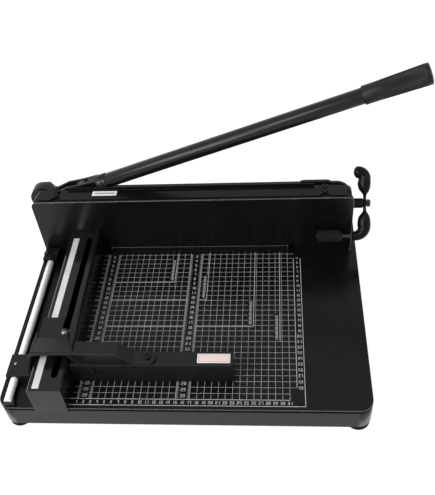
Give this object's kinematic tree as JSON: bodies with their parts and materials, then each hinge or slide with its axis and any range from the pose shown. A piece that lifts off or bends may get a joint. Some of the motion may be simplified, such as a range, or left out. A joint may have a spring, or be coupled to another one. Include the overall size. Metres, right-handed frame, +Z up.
{
  "type": "stack paper cutter",
  "caption": "Desk stack paper cutter: printed table with a side lay and a sliding back gauge, a crank-driven clamp bar, and a long blade drawn down by a lever.",
  "frame": {"origin": "on the floor, under the middle of the part's box at rest", "axes": "+X to the right along the cut, +Y away from the user, +Z up"},
  "size_m": [0.626, 0.3996, 0.3698],
  "materials": {
    "black_paint": "gloss",
    "iron": "painted dark",
    "steel": "zinc plated",
    "blade_steel": "ground",
    "chrome": "polished",
    "rubber": "matte",
    "grip_plastic": "ribbed",
    "stick_plastic": "satin",
    "scale_metal": "satin",
    "bronze": "turned"
  },
  "bodies": {
    "frame": {"base_tray": "black_paint", "table_plate": "black_paint", "rubber_feet": "rubber", "foot_screws": "steel", "cutting_stick": "stick_plastic", "side_lay": "black_paint", "side_lay_screws": "steel", "scale_strip": "scale_metal", "guide_rod": "chrome", "rod_holder_rear": "black_paint", "rod_holder_front": "black_paint", "rod_holder_screws": "steel", "left_column": "iron", "right_column": "iron", "column_bolts": "steel", "front_cover": "black_paint", "cover_screws": "steel", "top_plate": "black_paint", "top_plate_screws": "steel", "rear_plate": "black_paint", "rear_plate_bolts": "steel", "pivot_bolt": "steel", "pivot_washer": "steel", "shaft_bushes": "bronze"},
    "lever": {"lever_casting": "black_paint", "drive_pin": "steel", "tube_collar": "black_paint", "handle_tube": "black_paint", "handle_grip": "grip_plastic", "grip_cap": "grip_plastic"},
    "cutter": {"blade": "blade_steel", "blade_screws": "steel", "blade_carrier": "iron", "drive_lug": "iron", "lug_screws": "steel", "guide_studs": "steel", "guide_nuts": "steel"},
    "clamp": {"clamp_foot": "black_paint", "clamp_beam": "iron", "clamp_face": "black_paint", "clamp_racks": "steel", "rack_screws": "steel"},
    "crank": {"clamp_shaft": "steel", "clamp_pinions": "steel", "crank_collar": "black_paint", "crank": "black_paint", "crank_nut": "black_paint", "knob_pin": "steel"},
    "knob": {"crank_knob": "grip_plastic"},
    "pusher": {"pusher_bar": "black_paint", "pusher_arm": "black_paint", "pusher_horn": "black_paint", "rod_slider": "black_paint", "pusher_screws": "steel", "slot_nut": "steel"},
    "lock": {"lock_bolt": "chrome"}
  },
  "joints": [
    {"name": "lever_swing", "type": "hinge", "parent": "frame", "child": "lever", "pos_m": [-0.29101, 0.14835, 0.14704], "axis": [0, -1, 0], "range_deg": [0, 47]},
    {"name": "blade_slide", "type": "slide", "parent": "frame", "child": "cutter", "axis": [-0.5715, 0, 0.8206], "range_m": [0, 0.0525]},
    {"name": "crank_turn", "type": "hinge", "parent": "frame", "child": "crank", "pos_m": [0.21226, 0.12395, 0.14014], "axis": [-1, 0, 0], "range_deg": [0, 181.4]},
    {"name": "clamp_slide", "type": "slide", "parent": "frame", "child": "clamp", "axis": [0, 0, 1], "range_m": [0, 0.0381]},
    {"name": "knob_spin", "type": "hinge", "parent": "crank", "child": "knob", "pos_m": [0.17476, 0.09158, 0.09944], "axis": [1, 0, 0], "continuous": true},
    {"name": "pusher_slide", "type": "slide", "parent": "frame", "child": "pusher", "axis": [0, 1, 0], "range_m": [-0.03, 0.178]},
    {"name": "lock_turn", "type": "hinge", "parent": "pusher", "child": "lock", "pos_m": [-0.21524, -0.1029, 0.105], "axis": [0, 0, 1], "range_deg": [0, 180]}
  ],
  "couplings": [
    {"joint": "blade_slide", "follows": "lever_swing", "m_per_rad": 0.063936},
    {"joint": "clamp_slide", "follows": "crank_turn", "m_per_rad": 0.012}
  ]
}
